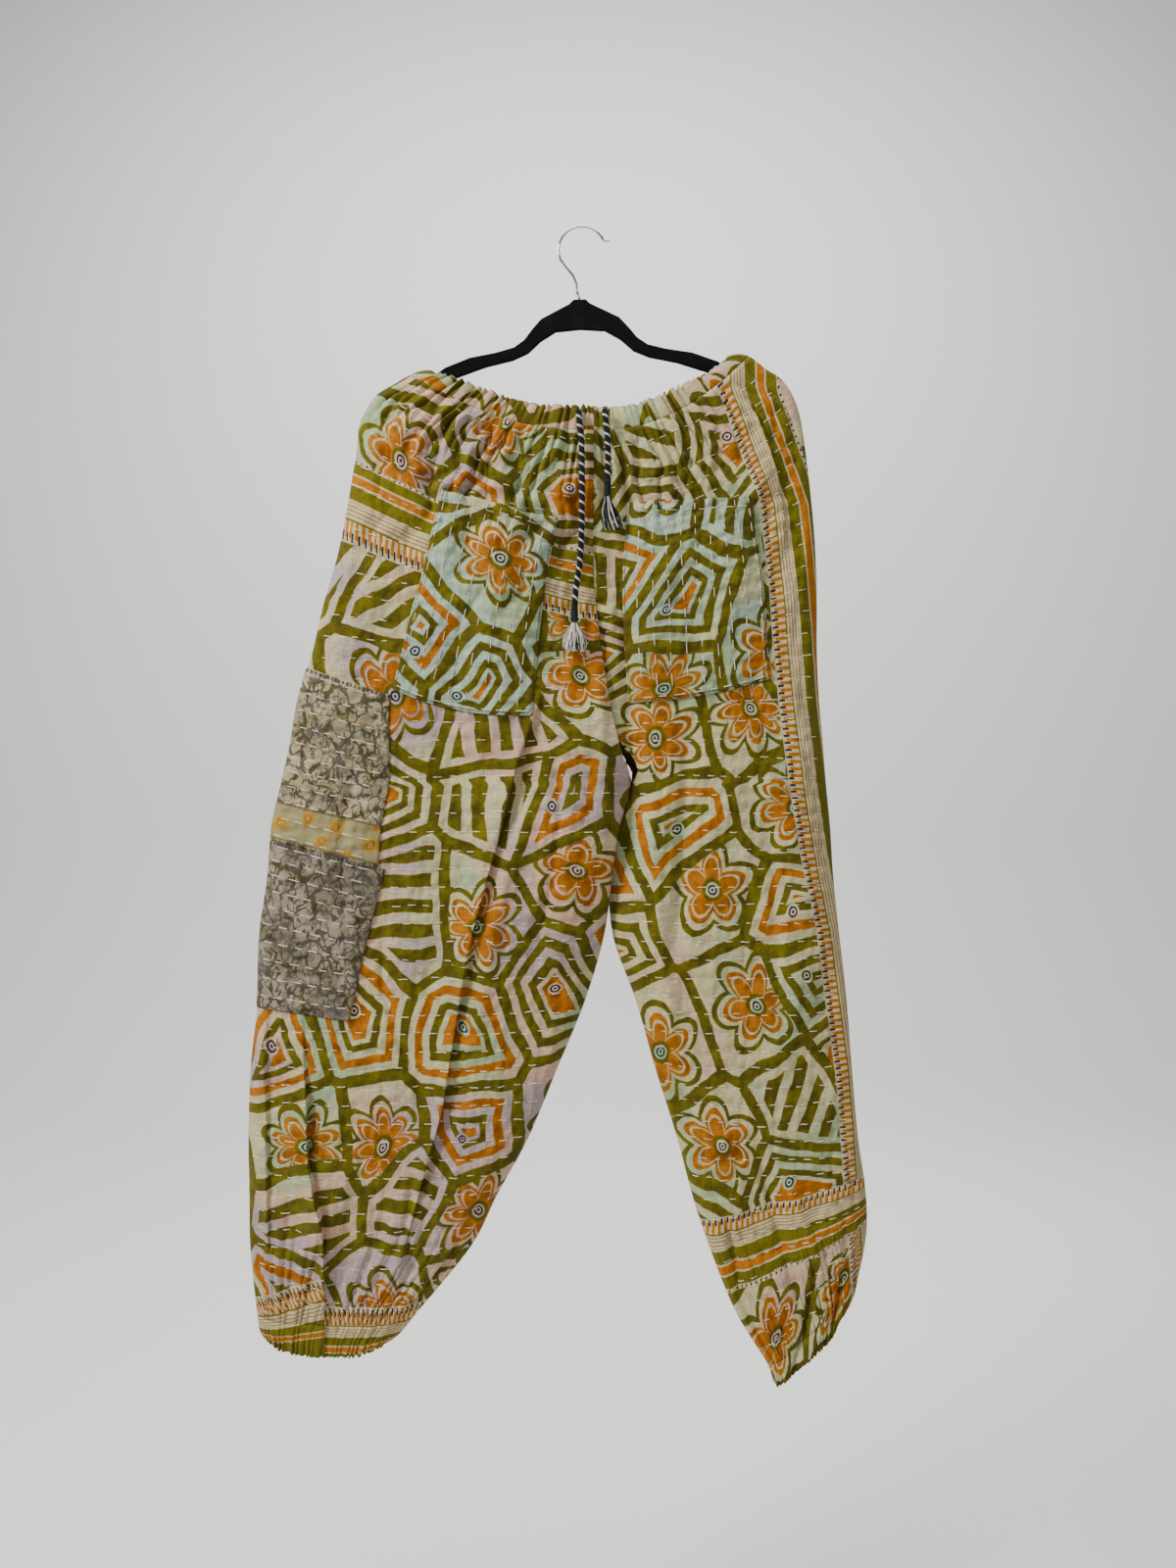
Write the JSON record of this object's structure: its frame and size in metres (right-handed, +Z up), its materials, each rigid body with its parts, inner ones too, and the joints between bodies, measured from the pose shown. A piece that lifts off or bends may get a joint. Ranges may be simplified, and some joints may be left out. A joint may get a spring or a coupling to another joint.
{
  "type": "joggers on a clothes hanger",
  "caption": "Loose drawstring joggers of quilted printed cotton with a gathered waist, patch pockets and gathered cuffs, hung by the waist on a flat velvet clothes hanger.",
  "frame": {"origin": "the inner top of the hanger's hook, where a rail or wall hook carries it", "axes": "+Z up along the garment's length, +Y from its front to its back, +X to the wearer's left"},
  "size_m": [0.6004, 0.0696, 1.1234],
  "materials": {
    "printed_cotton": "matte printed cotton, quilted with running stitch",
    "plain_cotton": "matte cotton with running stitch",
    "patch_cotton": "matte crackled cotton",
    "cord_cotton": "twisted black and white cotton cord",
    "velvet": "black flocked velvet",
    "chrome": "polished wire"
  },
  "bodies": {
    "root": {"waist_casing_front": "printed_cotton", "waist_casing_back": "printed_cotton", "front_right_seat": "printed_cotton", "front_right_thigh": "printed_cotton", "front_right_shin": "printed_cotton", "front_left_seat": "printed_cotton", "front_left_thigh": "printed_cotton", "front_left_shin": "printed_cotton", "back_right_seat": "printed_cotton", "back_right_thigh": "printed_cotton", "back_right_shin": "printed_cotton", "back_left_seat": "printed_cotton", "back_left_thigh": "printed_cotton", "back_left_shin": "printed_cotton", "cuff_right_front": "printed_cotton", "cuff_right_back": "printed_cotton", "cuff_left_front": "printed_cotton", "cuff_left_back": "printed_cotton", "pocket_right": "plain_cotton", "pocket_left": "plain_cotton", "side_patch_upper": "patch_cotton", "side_patch_lower": "patch_cotton", "drawstring_right": "cord_cotton", "drawstring_left": "cord_cotton", "tassel_right": "cord_cotton", "tassel_left": "cord_cotton", "hanger": "velvet", "hanger_hook": "chrome"}
  },
  "joints": []
}
